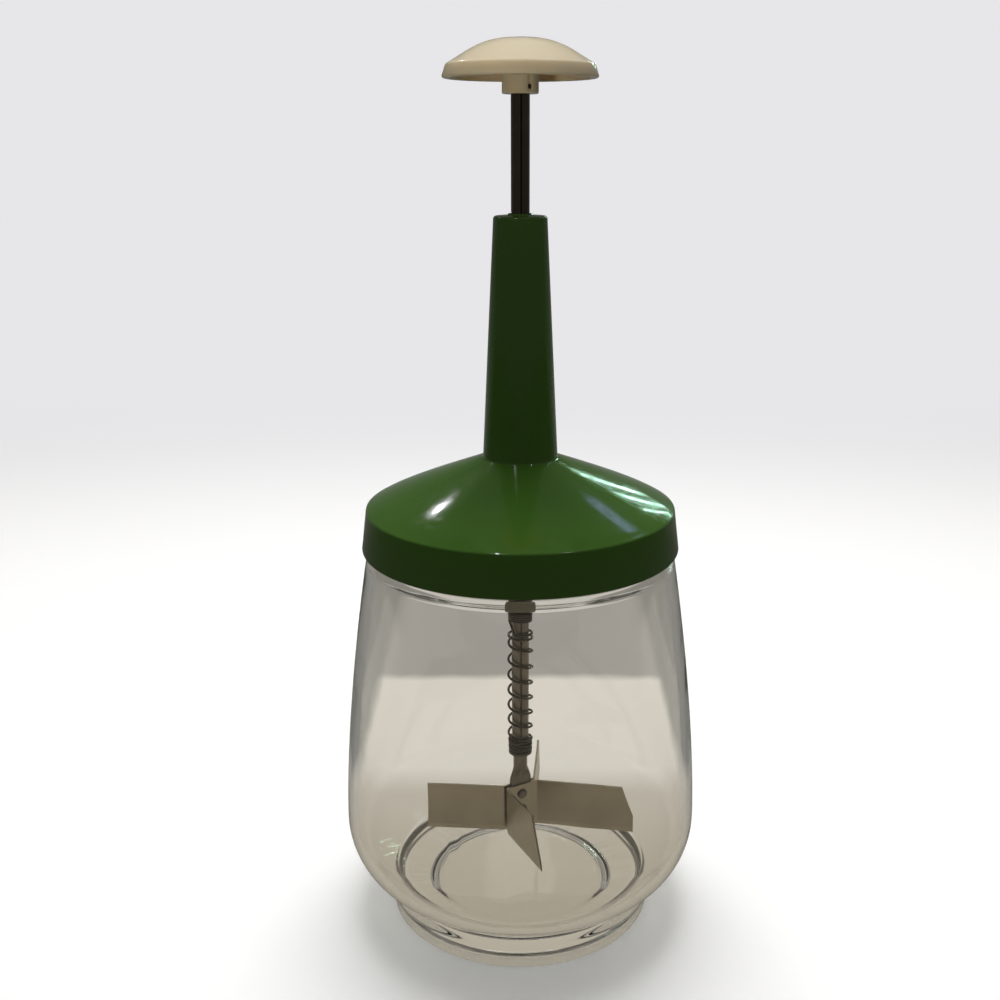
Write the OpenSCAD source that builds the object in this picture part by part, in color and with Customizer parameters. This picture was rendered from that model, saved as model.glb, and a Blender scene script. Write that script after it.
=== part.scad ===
// Plunger food chopper: a glass jar, a screw-on lid with a tall guide tower,
// and a sprung plunger whose knob drives four steel blades down on the food.
// Millimetres, +Z up.  The table is z = 0 and the plunger's axis is x = y = 0.
// -Y is the front.

/* [Jar] */
// Radius of the glass body at its widest ring
jar_r = 54.6; // [52:0.1:58]
// Height of the widest ring above the table
jar_widest_h = 32; // [30:0.5:36]
// Height of the shoulder, which the lid stands just clear of
shoulder_h = 118; // [110:0.5:130]
// How much narrower the body is under its shoulder than at its widest
shoulder_inset = 8.4; // [7:0.1:10]
// Curve of the side: 1 is a straight cone, more keeps the belly full
side_bow = 1.58; // [1.2:0.02:2]
// Rounding of the shoulder's outer edge
shoulder_round = 3; // [2:0.1:4]
// Thickness of the glass wall
jar_wall = 2.8; // [2.4:0.1:3.4]
// Outer radius of the screw neck
neck_r = 41.2; // [40:0.1:42.5]
// Height of the neck above the shoulder
neck_h = 11.4; // [10:0.1:13]
// Thickness of the neck's glass
neck_wall = 3.4; // [3:0.1:4]
// Rounding of the mouth's lip
lip_round = 1.1; // [0.8:0.1:1.4]

/* [Foot of the jar] */
// Outer radius of the ring that the jar stands on
foot_r = 40.8; // [39.5:0.1:41.2]
// Rounding of the foot's lower edge
foot_round = 0.8; // [0.4:0.1:1.2]
// Height of the crease between the foot and the bead above it
crease_h = 4; // [3.5:0.1:4.5]
// Height of the bead moulded above the crease
bead_h = 5.4; // [4.8:0.1:6]
// How far the bead stands out from the foot
bead_out = 1; // [0.6:0.1:1.4]
// Height of the waist between the bead and the heel
waist_h = 1.8; // [1.4:0.1:2.4]
// Height of the glass floor inside, above the table
floor_h = 9.8; // [9:0.1:10.5]
// Radius of the flat floor inside
floor_r = 36.4; // [36:0.1:37]
// Rounding where the floor turns up into the wall
floor_round = 3.2; // [2.8:0.1:3.6]
// Radius of the hollow pushed up under the base
punt_r = 30; // [26:0.5:33]
// Height of the hollow under the base
punt_h = 3.2; // [2:0.1:4]

/* [Lid] */
// Thickness of the lid's moulded wall
lid_wall = 2.2; // [1.8:0.1:2.6]
// Room between the neck and the skirt, where the screw threads lie
thread_room = 3.7; // [3.4:0.1:4.2]
// Height of the skirt from its lower edge to the ridge
skirt_h = 12.6; // [11.5:0.1:14]
// How much the skirt narrows from its lower edge to the ridge
skirt_draft = 1.4; // [1:0.1:2]
// Rounding of the ridge between the skirt and the dome
ridge_round = 0.8; // [0.4:0.1:1.2]
// Rise of the dome from the ridge to the foot of the tower
dome_rise = 14.4; // [13:0.1:17]
// How far the dome bulges above a straight cone
dome_crown = 0.6; // [0.3:0.1:1.2]
// Where the bulge lies: 1 is midway, less is nearer the ridge
dome_lean = 0.6; // [0.5:0.05:1]
// Thickness of the sealing ring in the lid
liner_t = 1.2; // [0.8:0.1:1.6]
// Width of the sealing ring
liner_w = 5.2; // [4.6:0.1:5.6]

/* [Tower] */
// Height of the tower above the dome
tower_h = 69.1; // [60:0.1:75]
// Outer radius of the tower at its foot
tower_base_r = 10.95; // [10.5:0.05:11.5]
// Outer radius of the tower at its top
tower_top_r = 7.6; // [7:0.05:8]
// Rounding of the tower's top edge
tower_round = 0.9; // [0.5:0.1:1.2]
// Thickness of the tower's wall
tower_wall = 2.1; // [1.8:0.1:2.4]
// Thickness of the tower's closed top, which guides the shaft
tower_cap = 3.4; // [3:0.1:5]
// Height of the raised lip round the shaft hole
tower_lip_h = 0.6; // [0.4:0.1:0.8]
// Width of the raised lip round the shaft hole
tower_lip_w = 0.75; // [0.6:0.05:0.9]

/* [Guide plug] */
// Length of the plug that is pressed up into the tower
plug_stub = 8; // [6:0.5:12]
// Width of the plug's flange beyond the tower's bore
plug_flange_w = 3.2; // [2.6:0.1:3.4]
// Thickness of the plug's flange
plug_flange_t = 1.8; // [1.4:0.1:2.2]
// Length of the spigot that hangs below the flange
spigot_len = 33.3; // [31:0.1:36]
// Radius of the spigot under its flange
spigot_root_r = 5.2; // [5:0.1:6]
// Thickness of the steel guide ferrule
ferrule_wall = 0.3; // [0.25:0.05:0.35]
// Length of the ferrule inside the spigot
ferrule_grip = 15; // [12:0.5:20]

/* [Shaft] */
// Diameter of the rolled steel shaft
shaft_d = 5.2; // [5:0.05:5.5]
// Diameter of the shaft below the spring's collar, where it is rolled shut
stem_d = 4.4; // [4:0.05:4.8]
// Thickness of the steel that the shaft is rolled from
shaft_wall = 0.6; // [0.5:0.05:0.7]
// Width of the seam where the rolled edges meet
seam_w = 0.3; // [0.2:0.05:0.4]
// Depth of the seam
seam_d = 0.3; // [0.2:0.05:0.4]
// Height over which the tube is pressed flat above the blades
flatten_h = 6.5; // [5:0.1:7.5]
// Width of the flat tongue that carries the blades
tongue_w = 7.2; // [6.4:0.1:8]
// Length of round shaft between its pressed end and the spring's collar
collar_room = 3.75; // [3:0.05:4.5]
// Height of the rolled bead that holds the spring collar down
stop_bead_h = 1; // [0.8:0.1:1.2]

/* [Knob] */
// Gap between the tower's top and the knob when nothing is pressed
knob_gap = 32; // [26:0.5:38]
// Radius of the knob's lower rim
knob_r = 21.2; // [19:0.1:23]
// Height of the knob's rim band
knob_rim_h = 3.6; // [3:0.1:4.5]
// How much the rim narrows towards its ridge
knob_rim_draft = 1; // [0.6:0.1:1.4]
// Rise of the knob's crown above the rim's ridge
knob_crown_h = 6.8; // [6:0.1:8]
// Radius of the knob's nearly flat top, inside its sloping flank
knob_flat_r = 10.5; // [8:0.1:12]
// Thickness of the knob's shell
knob_wall = 2; // [1.6:0.1:2.4]
// Length of the collar that hangs below the rim
knob_collar_h = 4; // [3:0.1:5]
// Thickness of the collar round the shaft
knob_collar_wall = 2.4; // [2.2:0.1:3]
// Depth of the shaft's socket in the knob
knob_socket = 9; // [8:0.1:9.8]
// Diameter of the cross pin that holds the knob
pin_d = 1.5; // [1.2:0.1:1.8]
// How far the pin's ends lie below the collar's surface
pin_recess = 0.7; // [0.4:0.1:1]
// Height of the pin above the collar's lower end
pin_lift = 1.8; // [1.5:0.1:2.2]

/* [Spring] */
// Diameter of the spring's wire
wire_d = 0.75; // [0.65:0.05:0.8]
// Close coils that grip the guide ferrule
top_turns = 9; // [8:1:10]
// Steep coil that leads down from the ferrule
lead_pitch = 4.8; // [4:0.1:6]
// Working coils of the spring
open_turns = 6.6; // [6.1:0.1:7.1]
// Pitch of the first working coil
open_pitch = 5.5; // [5.2:0.1:5.8]
// How much the pitch falls off towards the last working coil
pitch_fall = 0.9; // [0.5:0.1:1.5]
// Close coils that bunch on the lower collar
bottom_turns = 2; // [2:1:4]
// Free gap between neighbouring close coils
close_gap = 0.5; // [0.45:0.01:0.6]

/* [Blades] */
// Height of the blades
blade_h = 15.6; // [14:0.1:17]
// Thickness of the blade steel
blade_t = 0.6; // [0.5:0.05:0.8]
// Height of the bevel ground on each lower edge
bevel_h = 1.4; // [1:0.1:2]
// Thickness left at the ground edge
edge_t = 0.2; // [0.15:0.05:0.3]
// Length of the flats that are riveted together
hub_len = 11; // [10:0.1:12]
// Angle of the riveted flats in plan, from +X
hub_angle = 29.5; // [20:0.5:40]
// Radius of the bends between the flats and the blades, at the strip's centre
bend_r = 1; // [0.6:0.1:1.4]
// Gap between the longest blade's tip and the edge of the jar's floor
tip_gap = 0.2; // [0.2:0.1:1.6]
// Angle of the right blade in plan
right_angle = -9.6; // [-16:0.2:-4]
// Angle of the left blade in plan
left_angle = 175.4; // [170:0.2:182]
// Angle of the front blade in plan
front_angle = -63.3; // [-75:0.1:-55]
// Angle of the rear blade in plan
rear_angle = 85.9; // [75:0.1:95]
// How much less the left blade reaches than the right one
left_short = 6.5; // [4:0.1:9]
// How much less the front blade reaches than the right one
front_short = 10.3; // [8:0.1:12]
// How much less the rear blade reaches than the right one
rear_short = 0.4; // [0:0.1:3]
// Diameter of the rivets' shanks
rivet_d = 2; // [1.6:0.1:2.4]
// Diameter of the rivets' heads
rivet_head_d = 3.2; // [2.8:0.1:3.6]
// Height of the rivets' heads
rivet_head_h = 0.8; // [0.6:0.1:1]
// Distance between the two rivets
rivet_step = 5.4; // [4.6:0.1:6.5]

/* [Clearances] */
// Gap between faces that seat on each other
seat_gap = 0.1; // [0.05:0.01:0.15]
// Radial gap of the shaft in its guides
run_gap = 0.05; // [0.03:0.01:0.08]
// Radial gap of pieces that are pressed or riveted together
press_gap = 0.02; // [0.01:0.01:0.03]
// Gap between the lid's skirt and the jar's shoulder
skirt_gap = 0.7; // [0.4:0.1:1.2]

/* [Hidden] */
$fn = 96;

// Colours of the real materials.
GLASS = [0.82, 0.84, 0.80, 0.35];
GREEN = [0.20, 0.42, 0.12];
IVORY = [0.86, 0.82, 0.68];
WHITE = [0.88, 0.88, 0.84];
GREY = [0.43, 0.41, 0.37];
STEEL = [0.42, 0.39, 0.35];
DARK_STEEL = [0.22, 0.20, 0.19];

// Number of straight facets in a curved stretch of a profile.
CURVE_STEPS = 12;
// Facets of a cross-section that is blended with hull().
HULL_FN = 32;
// Overlap that makes joined solids one piece, and cuts run past a face.
EPS = 0.05;

// Heights of the jar, from the table up.
heel_h = crease_h + bead_h + waist_h;
shoulder_r = jar_r - shoulder_inset;
side_top_h = shoulder_h - shoulder_round;
mouth_h = shoulder_h + neck_h;
neck_inner_r = neck_r - neck_wall;

// Shape of the heel's curves, as shares of its width and height.
HEEL_OUT = 0.45;
HEEL_LIFT = 0.15;
HEEL_TURN = 0.55;
INNER_OUT = 0.28;
INNER_LIFT = 0.1;
INNER_TURN = 0.6;
// Depth below the shoulder at which the inside meets the plain side wall.
inner_shoulder_d = 4.4;
// Fillet between the shoulder and the neck.
NECK_FILLET = 0.8;

// Heights and radii of the lid.
skirt_z = shoulder_h + skirt_gap;
skirt_r = neck_r + thread_room + lid_wall;
ridge_z = skirt_z + skirt_h;
ridge_r = skirt_r - skirt_draft;
dome_top_z = ridge_z + dome_rise;
tower_top_z = dome_top_z + tower_h;
liner_z = mouth_h + seat_gap;
liner_seat_z = liner_z + liner_t + seat_gap;
liner_outer_r = neck_r + thread_room / 4;
liner_inner_r = liner_outer_r - liner_w;
// Width of the flat seat inside the sealing ring.
LINER_LAND = 0.6;
liner_land_r = liner_inner_r - LINER_LAND;

// The guide plug seats on a flat ring under the foot of the tower.
PLUG_SEAT_ROOM = 0.5;
PLUG_SEAT_DEPTH = 1.4;
tower_bore_r = tower_base_r - tower_wall;
tower_bore_top_r = tower_top_r - tower_wall;
plug_flange_r = tower_bore_r + plug_flange_w;
plug_seat_r = plug_flange_r + PLUG_SEAT_ROOM;
plug_seat_z = dome_top_z - lid_wall - PLUG_SEAT_DEPTH;
flange_top_z = plug_seat_z - seat_gap;
flange_z = flange_top_z - plug_flange_t;
spigot_z = flange_z - spigot_len;

// Shaft, ferrule and spring share one axis and nest from the inside out.
shaft_r = shaft_d / 2;
stem_r = stem_d / 2;
guide_r = shaft_r + run_gap;
ferrule_r = guide_r + ferrule_wall;
RINGS_PER_TURN = 8;
WIRE_SIDES = 6;
COIL_GAP = 0.04;
SPIGOT_LIP = 0.2;
SHAFT_ROOM = 0.4;
coil_r = (ferrule_r + COIL_GAP + wire_d / 2) / cos(180 / RINGS_PER_TURN);
spigot_r = coil_r + wire_d / 2 + SPIGOT_LIP;
close_pitch = wire_d + close_gap;

// The spring hangs from the spigot; its length sets where the collar sits.
END_STEPS = 3;
START_ANGLE = 108;
wire_bend = wire_d;
spring_top_z = spigot_z - seat_gap;
coil_top_z = spring_top_z - wire_d - wire_bend;
spring_turns = top_turns + 2 + open_turns + bottom_turns;
coil_bottom_z = coil_top_z - coil_drop(spring_turns);
spring_bottom_z = coil_bottom_z - wire_bend - wire_d;
ferrule_z = coil_top_z - top_turns * close_pitch;
COLLAR_FLANGE_T = 0.8;
collar_top_z = spring_bottom_z - seat_gap;
collar_z = collar_top_z - COLLAR_FLANGE_T;
collar_tube_z = collar_top_z + wire_d + wire_bend + bottom_turns * close_pitch;
stop_bead_out = ferrule_wall - COIL_GAP;
stop_bead_z = collar_tube_z + seat_gap + stop_bead_h / 2;

// The plunger hangs on the spring, so the collar sets the height of the blades.
// The tongue starts above their lower edges and rises past their tops.
TONGUE_INSET = 2;
TONGUE_RISE = 1;
RIVETS_UP = 0.62;
tube_z = collar_z - collar_room;
flatten_z = tube_z - flatten_h;
blade_z = flatten_z - TONGUE_RISE - blade_h;
tongue_z = blade_z + TONGUE_INSET;
tongue_t = 2 * shaft_wall;
blade_offset = tongue_t / 2 + blade_t / 2;
blade_reach = floor_r - tip_gap;
rivet_mid_z = blade_z + blade_h * RIVETS_UP;
rivet_zs = [rivet_mid_z - rivet_step / 2, rivet_mid_z + rivet_step / 2];
rivet_r = rivet_d / 2;
// Straight facets of each bend, and the length left on a sharp end until it is cut.
BEND_STEPS = 4;
TIP_OVER = 1;
// Shape of the blades' ends, as shares of the blade's height: how far each end
// is cut back at the top, and how high the right blade's end stays upright.
SHARP_SLANT = 0.42;
RIGHT_SLANT = 0.24;
RIGHT_CORNER = 0.35;

// Knob.
knob_z = tower_top_z + knob_gap;
knob_rim_z = knob_z + knob_collar_h;
knob_ridge_z = knob_rim_z + knob_rim_h;
knob_ridge_r = knob_r - knob_rim_draft;
knob_collar_r = shaft_r + knob_collar_wall;
knob_top_z = knob_ridge_z + knob_crown_h;
// Where the flank's curve is drawn to: shares of the flat top's radius and of the rise.
FLANK_OUT = 1.22;
FLANK_UP = 0.62;
shaft_top_z = knob_z + knob_socket;
pin_z = knob_z + pin_lift;
// Where the cross pin and the shaft's seam face, in plan.
PIN_ANGLE = -57.3;
SEAM_ANGLE = -84;

// Profile helpers. Points are [radius, height].
function bezier(a, b, c, d) =
    [for (i = [0:CURVE_STEPS]) let (t = i / CURVE_STEPS, s = 1 - t)
        s * s * s * a + 3 * s * s * t * b + 3 * s * t * t * c + t * t * t * d];
function arc(centre, r, from, to, steps = 6) =
    [for (i = [0:steps]) let (a = from + (to - from) * i / steps) centre + r * [cos(a), sin(a)]];
function lerp(a, b, t) = a + (b - a) * t;

// Outer radius of the jar's side at height z above its widest ring.
function side_r(z) =
    jar_r - shoulder_inset * pow((z - jar_widest_h) / (side_top_h - jar_widest_h), side_bow);
function side(inset, top) =
    [for (i = [1:CURVE_STEPS]) let (z = lerp(jar_widest_h, top, i / CURVE_STEPS))
        [side_r(z) - inset, z]];

module turned(points) {
    rotate_extrude() polygon(points);
}

// Solid through a row of rings, each counter-clockwise about the way ahead.
module sweep(rings) {
    sides = len(rings[0]);
    last = len(rings) - 1;
    walls = [for (i = [0:last - 1]) for (k = [0:sides - 1]) for (half = [0, 1])
        let (a = i * sides + k, b = i * sides + (k + 1) % sides, c = b + sides, d = a + sides)
        half == 0 ? [a, d, c] : [a, c, b]];
    first_cap = [for (k = [1:sides - 2]) [0, k, k + 1]];
    base = last * sides;
    last_cap = [for (k = [1:sides - 2]) [base, base + k + 1, base + k]];
    polyhedron([for (ring = rings) each ring], concat(walls, first_cap, last_cap));
}

// ---- Glass jar ----

function jar_base() = concat(
    [[0, punt_h]],
    bezier([punt_r - 2 * punt_h, punt_h], [punt_r - punt_h / 2, punt_h],
           [punt_r - punt_h / 2, 0], [punt_r, 0]),
    arc([foot_r - foot_round, foot_round], foot_round, -90, 0));
function jar_bead() =
    [for (i = [0:CURVE_STEPS])
        [foot_r + bead_out * sin(180 * i / CURVE_STEPS), crease_h + bead_h * i / CURVE_STEPS]];
function jar_heel() =
    let (out = jar_r - foot_r, up = jar_widest_h - heel_h)
    bezier([foot_r, heel_h], [foot_r + HEEL_OUT * out, heel_h + HEEL_LIFT * up],
           [jar_r, jar_widest_h - HEEL_TURN * up], [jar_r, jar_widest_h]);
function jar_shoulder() = concat(
    arc([shoulder_r - shoulder_round, side_top_h], shoulder_round, 0, 90),
    [[neck_r + NECK_FILLET, shoulder_h], [neck_r, shoulder_h + NECK_FILLET]]);
function jar_lip() = concat(
    arc([neck_r - lip_round, mouth_h - lip_round], lip_round, 0, 90),
    arc([neck_inner_r + lip_round, mouth_h - lip_round], lip_round, 90, 180));
function jar_inner_heel() =
    let (r = jar_r - jar_wall,
         foot = [floor_r + floor_round, floor_h + floor_round],
         out = r - foot[0],
         up = jar_widest_h - foot[1])
    concat(
        [[0, floor_h]],
        arc([floor_r, foot[1]], floor_round, -90, 0),
        bezier(foot, foot + [INNER_OUT * out, INNER_LIFT * up],
               [r, jar_widest_h - INNER_TURN * up], [r, jar_widest_h]));
function jar_inner_shoulder() =
    let (top = shoulder_h - inner_shoulder_d, r = side_r(top) - jar_wall)
    bezier([r, top], [r, top + inner_shoulder_d / 2],
           [neck_inner_r, shoulder_h - inner_shoulder_d / 2], [neck_inner_r, shoulder_h]);

module jar() {
    color(GLASS)
    difference() {
        union() {
            turned(concat(jar_base(), jar_bead(), jar_heel(), side(0, side_top_h), jar_shoulder(),
                          jar_lip(), [[neck_inner_r, shoulder_h], [0, shoulder_h]]));
            // The neck is rooted in the shoulder as deep as the inside turns in.
            translate([0, 0, shoulder_h - inner_shoulder_d])
            cylinder(r = neck_r, h = inner_shoulder_d + NECK_FILLET / 2);
        }
        turned(concat(jar_inner_heel(), side(jar_wall, shoulder_h - inner_shoulder_d),
                      jar_inner_shoulder(), [[neck_inner_r, shoulder_h + NECK_FILLET],
                      [0, shoulder_h + NECK_FILLET]]));
    }
}

// ---- Lid: skirt, dome and tower in one moulding ----

// The dome bulges from the straight line between the ridge and the tower's foot.
function dome_line(from, to) =
    let (chord = to - from, outward = [chord[1], -chord[0]] / norm(chord))
    [for (i = [0:CURVE_STEPS]) let (t = i / CURVE_STEPS)
        from + chord * t + outward * dome_crown * sin(180 * pow(t, dome_lean))];
function tower_outer_r(z) =
    lerp(tower_base_r, tower_top_r, (z - dome_top_z) / tower_h);
function tower_inner_r(z) =
    lerp(tower_bore_r, tower_bore_top_r, (z - dome_top_z) / tower_h);

// Height of a straight cone from the ridge to the tower's foot, at radius r.
function cone_z(r) = ridge_z + dome_rise * (ridge_r - r) / (ridge_r - tower_base_r);

module lid() {
    fillet = 0.5;
    edge = 0.5;
    chamfer = 0.3;
    core_z = tower_top_z - tower_cap;
    lip_z = tower_top_z + tower_lip_h;
    lip_r = guide_r + tower_lip_w;
    outside = concat(
        [[skirt_r - lid_wall, skirt_z]],
        arc([skirt_r - edge, skirt_z + edge], edge, -90, 0, 3),
        arc([ridge_r - ridge_round, ridge_z - ridge_round], ridge_round, 5, 60, 4),
        dome_line([ridge_r - ridge_round, ridge_z], [tower_base_r + fillet, dome_top_z]),
        [[tower_outer_r(dome_top_z + fillet), dome_top_z + fillet]],
        arc([tower_top_r - tower_round, tower_top_z - tower_round], tower_round, 3, 90, 5),
        [[lip_r + tower_lip_h, tower_top_z], [lip_r, lip_z],
         [guide_r + chamfer, lip_z], [guide_r, lip_z - chamfer]]);
    inside = [
        [guide_r, core_z], [tower_inner_r(core_z), core_z],
        [tower_inner_r(plug_seat_z), plug_seat_z], [plug_seat_r, plug_seat_z],
        [plug_seat_r + edge, cone_z(plug_seat_r + edge) - lid_wall],
        [liner_land_r, cone_z(liner_land_r) - lid_wall],
        [liner_land_r, liner_seat_z], [ridge_r - lid_wall, liner_seat_z]];
    color(GREEN) turned(concat(outside, inside));
}

module lid_liner() {
    color(WHITE)
    translate([0, 0, liner_z])
    difference() {
        cylinder(r = liner_outer_r, h = liner_t);
        translate([0, 0, -EPS]) cylinder(r = liner_inner_r, h = liner_t + 2 * EPS);
    }
}

// ---- Guide plug and ferrule, which carry the spring's upper end ----

module guide_plug() {
    stub_z = flange_top_z + plug_stub;
    ferrule_top_z = spigot_z + ferrule_grip;
    socket_r = ferrule_r + press_gap;
    bore_r = guide_r + SHAFT_ROOM;
    color(GREY)
    turned([
        [socket_r, spigot_z], [spigot_r, spigot_z], [spigot_root_r, flange_z],
        [plug_flange_r, flange_z], [plug_flange_r, flange_top_z],
        [tower_inner_r(plug_seat_z) - press_gap, flange_top_z],
        [tower_inner_r(stub_z) - press_gap, stub_z],
        [bore_r, stub_z], [bore_r, ferrule_top_z], [socket_r, ferrule_top_z]]);
}

module guide_ferrule() {
    top = spigot_z + ferrule_grip - seat_gap;
    color(STEEL)
    translate([0, 0, ferrule_z])
    difference() {
        cylinder(r = ferrule_r, h = top - ferrule_z);
        translate([0, 0, -EPS]) cylinder(r = guide_r, h = top - ferrule_z + 2 * EPS);
    }
}

// ---- Return spring: one wire, left-handed, from the spigot to the collar ----

// Height lost by the coil after a number of turns from its top.
function open_drop(x) = open_pitch * x - pitch_fall * x * x / (2 * open_turns);
function coil_drop(t) =
    t <= top_turns ? t * close_pitch
    : t <= top_turns + 1 ? top_turns * close_pitch + (t - top_turns) * lead_pitch
    : t <= top_turns + 2
        ? top_turns * close_pitch + lead_pitch + (t - top_turns - 1) * close_pitch
    : t <= top_turns + 2 + open_turns
        ? (top_turns + 1) * close_pitch + lead_pitch + open_drop(t - top_turns - 2)
    : (top_turns + 1) * close_pitch + lead_pitch + open_drop(open_turns)
        + (t - top_turns - 2 - open_turns) * close_pitch;

// A station of the wire: [centre, tangent, normal].
function coil_station(t) =
    let (a = START_ANGLE + 360 * t, dt = 0.01,
         slope = (coil_drop(t + dt) - coil_drop(max(t - dt, 0))) / (2 * PI * coil_r * 2 * dt),
         along = [-sin(a), cos(a), -slope])
    [[coil_r * cos(a), coil_r * sin(a), coil_top_z - coil_drop(t)],
     along / norm(along), [cos(a), sin(a), 0]];
// The end bends from the coil's direction to the axis: sign is -1 above, 1 below.
function end_station(t, bend, straight, sign) =
    let (a = START_ANGLE + 360 * t, along = [-sin(a), cos(a), 0], down = [0, 0, -1])
    [[coil_r * cos(a), coil_r * sin(a), coil_top_z - coil_drop(t)]
         + sign * wire_bend * sin(bend) * along
         + sign * (wire_bend * (1 - cos(bend)) + straight) * down,
     cos(bend) * along + sin(bend) * down, [cos(a), sin(a), 0]];

coil_steps = round(spring_turns * RINGS_PER_TURN);
stations = concat(
    [end_station(0, 90, wire_d, -1)],
    [for (i = [0:END_STEPS - 1]) end_station(0, 90 - 90 * i / END_STEPS, 0, -1)],
    [for (i = [0:coil_steps]) coil_station(spring_turns * i / coil_steps)],
    [for (i = [1:END_STEPS]) end_station(spring_turns, 90 * i / END_STEPS, 0, 1)],
    [end_station(spring_turns, 90, wire_d, 1)]);

// The least gap between coils, measured on the wire's centre points.
near = RINGS_PER_TURN - 2;
self_gap = min([for (i = [0:len(stations) - near - 1]) for (j = [i + near:len(stations) - 1])
                norm(stations[i][0] - stations[j][0])]) - wire_d;
echo(spring_least_gap_mm = self_gap);

module spring() {
    color(DARK_STEEL)
    sweep([for (s = stations) [for (k = [0:WIRE_SIDES - 1]) let (a = 360 * k / WIRE_SIDES)
        s[0] + wire_d / 2 * (cos(a) * s[2] + sin(a) * cross(s[1], s[2]))]]);
}

module spring_collar() {
    color(DARK_STEEL)
    turned([[guide_r, collar_z], [coil_r, collar_z], [coil_r, collar_top_z],
            [ferrule_r, collar_top_z], [ferrule_r, collar_tube_z], [guide_r, collar_tube_z]]);
}

// ---- Shaft: a rolled tube whose lower end is pressed into a flat tongue ----

module shaft() {
    bead = stop_bead_h / 2;
    bead_r = shaft_r + stop_bead_out;
    crimp_h = 0.5;
    taper_h = 0.6;
    bore_z = tube_z + 2 * crimp_h;
    bore_r = shaft_r - shaft_wall;
    color(STEEL)
    difference() {
        union() {
            turned([[0, tube_z], [stem_r, tube_z], [stem_r, collar_z], [shaft_r, collar_z + taper_h],
                    [shaft_r, stop_bead_z - bead], [bead_r, stop_bead_z - bead / 2],
                    [bead_r, stop_bead_z + bead / 2], [shaft_r, stop_bead_z + bead],
                    [shaft_r, shaft_top_z], [0, shaft_top_z]]);
            hull() {
                translate([0, 0, tube_z]) cylinder(r = stem_r - EPS, h = crimp_h, $fn = HULL_FN);
                rotate([0, 0, hub_angle])
                translate([EPS - tongue_w / 2, EPS - tongue_t / 2, flatten_z - crimp_h])
                cube([tongue_w - 2 * EPS, tongue_t - 2 * EPS, EPS]);
            }
            rotate([0, 0, hub_angle])
            translate([0, tongue_t / 2, tongue_z])
            rotate([90, 0, 0])
            linear_extrude(tongue_t)
            tongue_outline();
        }
        turned([[0, bore_z], [stem_r - shaft_wall, bore_z], [stem_r - shaft_wall, collar_z],
                [bore_r, collar_z + taper_h], [bore_r, shaft_top_z + EPS], [0, shaft_top_z + EPS]]);
        rotate([0, 0, SEAM_ANGLE])
        translate([shaft_r - seam_d, -seam_w / 2, collar_z + taper_h])
        cube([seam_d + 1, seam_w, shaft_top_z - collar_z]);
        rivet_holes();
        knob_pin_shape(pin_d / 2 + press_gap, 2 * knob_collar_r);
    }
}

module tongue_outline() {
    corner = 1.5;
    height = flatten_z - tongue_z;
    polygon([[-tongue_w / 2, corner], [-tongue_w / 2 + corner, 0], [tongue_w / 2 - corner, 0],
             [tongue_w / 2, corner], [tongue_w / 2, height], [-tongue_w / 2, height]]);
}

// ---- Knob and its cross pin ----

module knob_pin_shape(r, length) {
    rotate([0, 0, PIN_ANGLE])
    translate([-length / 2, 0, pin_z])
    rotate([0, 90, 0])
    cylinder(r = r, h = length, $fn = 24);
}

// The crown, from its ridge over a straight flank to the nearly flat top.
function knob_crown(ridge_r, ridge_z, rise) =
    bezier([ridge_r, ridge_z], [FLANK_OUT * knob_flat_r, ridge_z + FLANK_UP * rise],
           [knob_flat_r, ridge_z + rise], [0, ridge_z + rise]);

module knob() {
    rim_land = 0.6;
    color(IVORY)
    difference() {
        union() {
            difference() {
                turned(concat(
                    [[0, knob_rim_z], [knob_r - rim_land, knob_rim_z], [knob_r, knob_rim_z + rim_land]],
                    knob_crown(knob_ridge_r, knob_ridge_z, knob_crown_h)));
                turned(concat(
                    [[0, knob_rim_z - EPS], [knob_r - knob_wall, knob_rim_z - EPS]],
                    knob_crown(knob_ridge_r - knob_wall, knob_ridge_z - knob_wall / 2,
                               knob_crown_h - knob_wall / 2)));
            }
            translate([0, 0, knob_z])
            cylinder(r = knob_collar_r, h = knob_top_z - knob_wall / 2 - knob_z);
        }
        translate([0, 0, knob_z - EPS])
        cylinder(r = shaft_r + press_gap, h = knob_socket + seat_gap + EPS);
        knob_pin_shape(pin_d / 2 + press_gap, 2 * knob_collar_r + 1);
    }
}

module knob_pin() {
    color(DARK_STEEL) knob_pin_shape(pin_d / 2, 2 * (knob_collar_r - pin_recess));
}

// ---- Blades: two bent strips riveted to the tongue, one on each side ----

// Length of an arm from its bend to a tip that lies at a given reach.
function arm_len(bend, angle, reach) =
    let (along = bend * [cos(angle), sin(angle)])
    -along + sqrt(along * along - bend * bend + reach * reach);

// Section of the ground strip: [sideways, height above its lower edge].
STRIP_SECTION = [
    [-blade_t / 2, bevel_h], [-edge_t / 2, 0], [edge_t / 2, 0],
    [blade_t / 2, bevel_h], [blade_t / 2, blade_h], [-blade_t / 2, blade_h]];

function ahead(angle) = [cos(angle), sin(angle)];
function left_of(angle) = [-sin(angle), cos(angle)];

// Stations of the strip's centre line round a bend at p: [point, angle].
function bend_stations(p, from, to) =
    let (turn = to - from, side = sign(turn),
         centre = p - bend_r * tan(abs(turn) / 2) * ahead(from) + side * bend_r * left_of(from))
    [for (k = [0:BEND_STEPS]) let (angle = from + turn * k / BEND_STEPS)
        [centre - side * bend_r * left_of(angle), angle]];

// One end of the riveted flat of a strip, on the side of the tongue given by side.
function hub_point(end, side) =
    end * hub_len / 2 * ahead(hub_angle) - side * blade_offset * left_of(hub_angle);

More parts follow.
